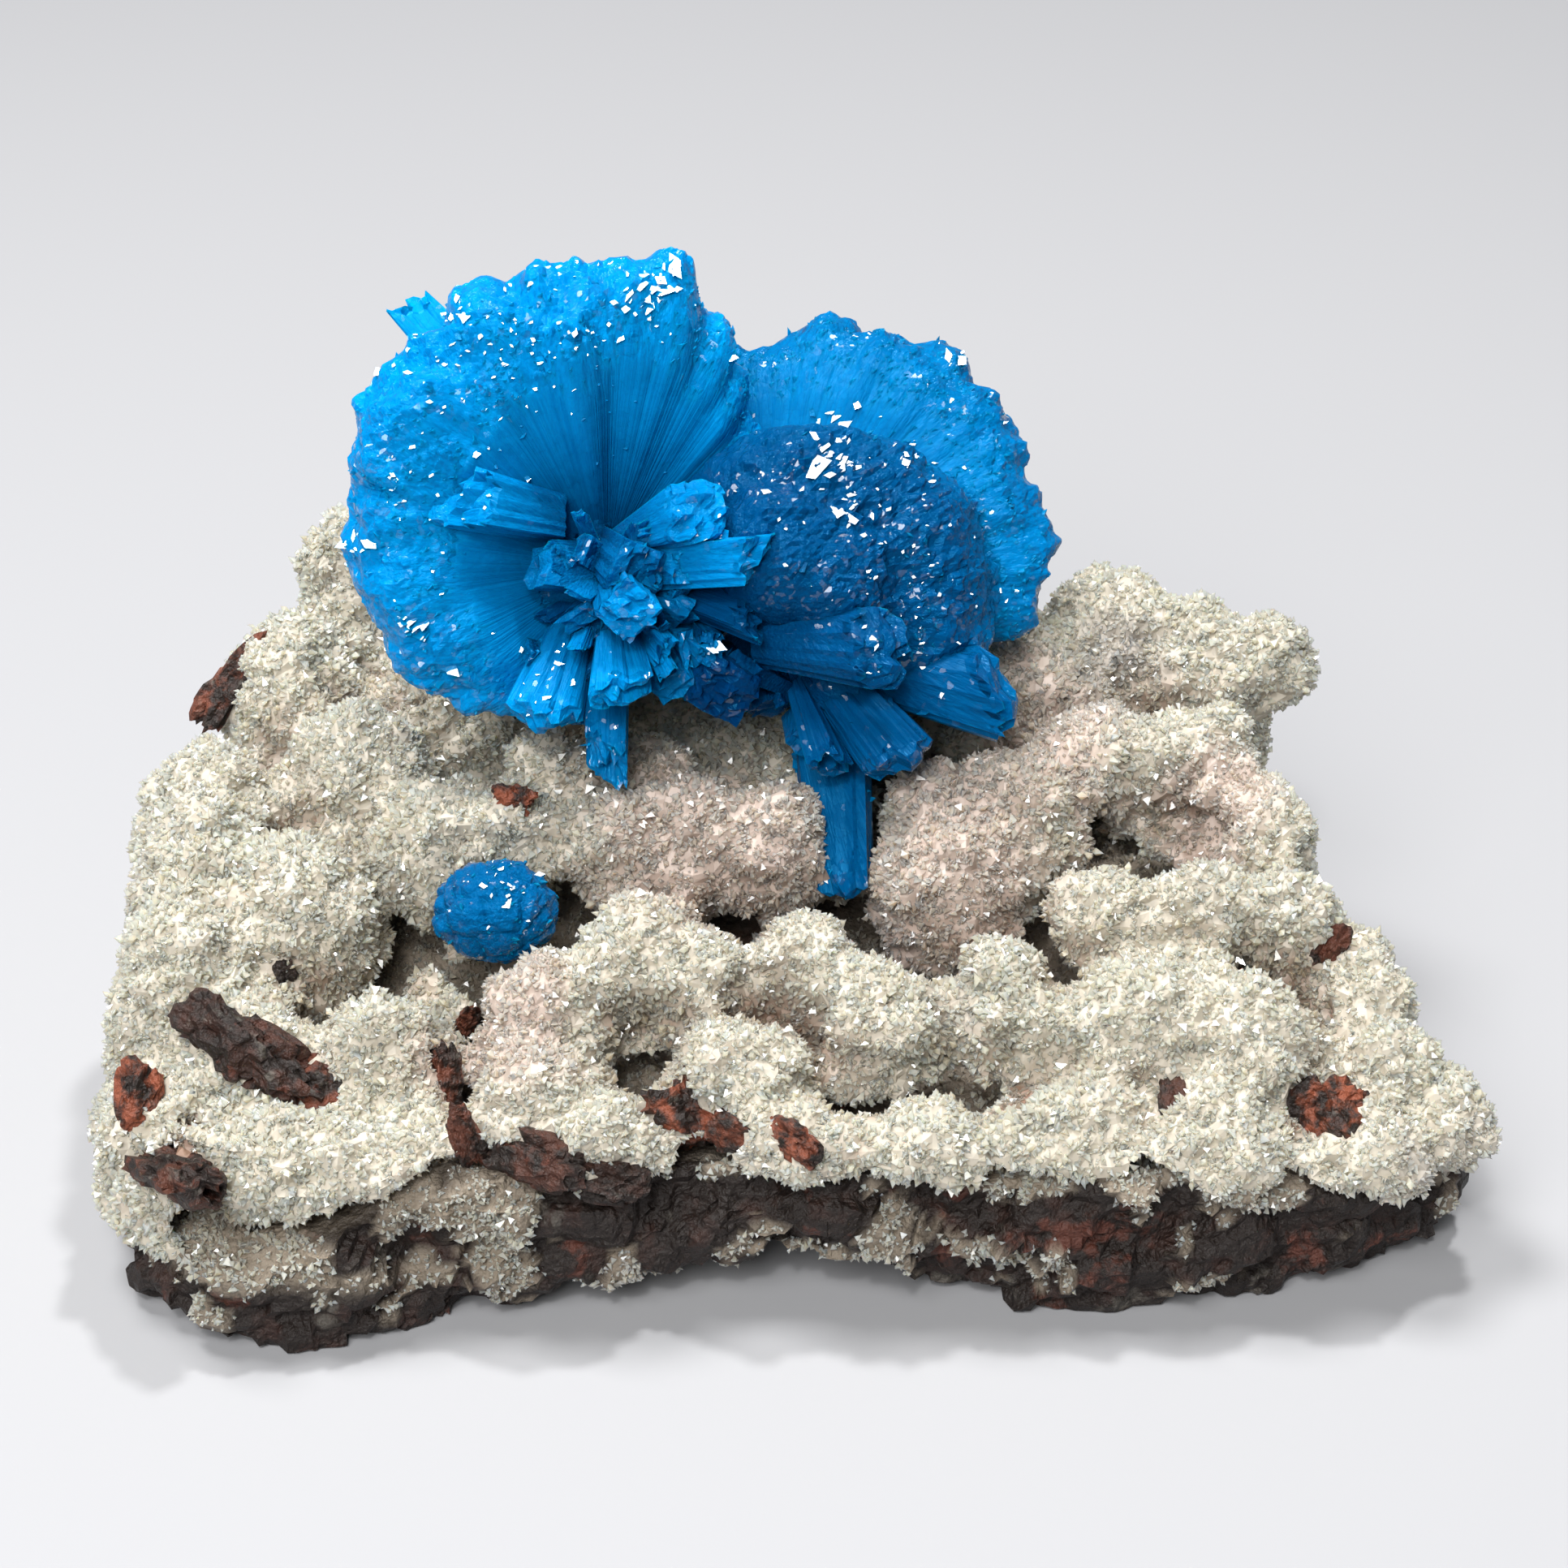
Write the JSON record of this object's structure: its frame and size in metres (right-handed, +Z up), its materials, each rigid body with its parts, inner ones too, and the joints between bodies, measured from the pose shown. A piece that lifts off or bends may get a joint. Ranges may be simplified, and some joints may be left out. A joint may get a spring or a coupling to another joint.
{
  "type": "cavansite specimen",
  "caption": "Azure rosettes of bladed crystals and a small blue ball, on a sparkling pale druse that coats a broken piece of dark basalt.",
  "frame": {"origin": "middle of the footprint's bounding box, on the plane of the flat underside that the rock rests on", "axes": "+Z up, +X to the right as seen from the show side, which faces -Y"},
  "size_m": [0.0696, 0.0416, 0.0433],
  "materials": {
    "basalt": "matt, broken",
    "stilbite": "vitreous, sugary",
    "cavansite": "vitreous"
  },
  "bodies": {
    "root": {"basalt_matrix": "basalt", "stilbite_druse": "stilbite", "cavansite_rosettes": "cavansite", "cavansite_ball": "cavansite"}
  },
  "joints": []
}
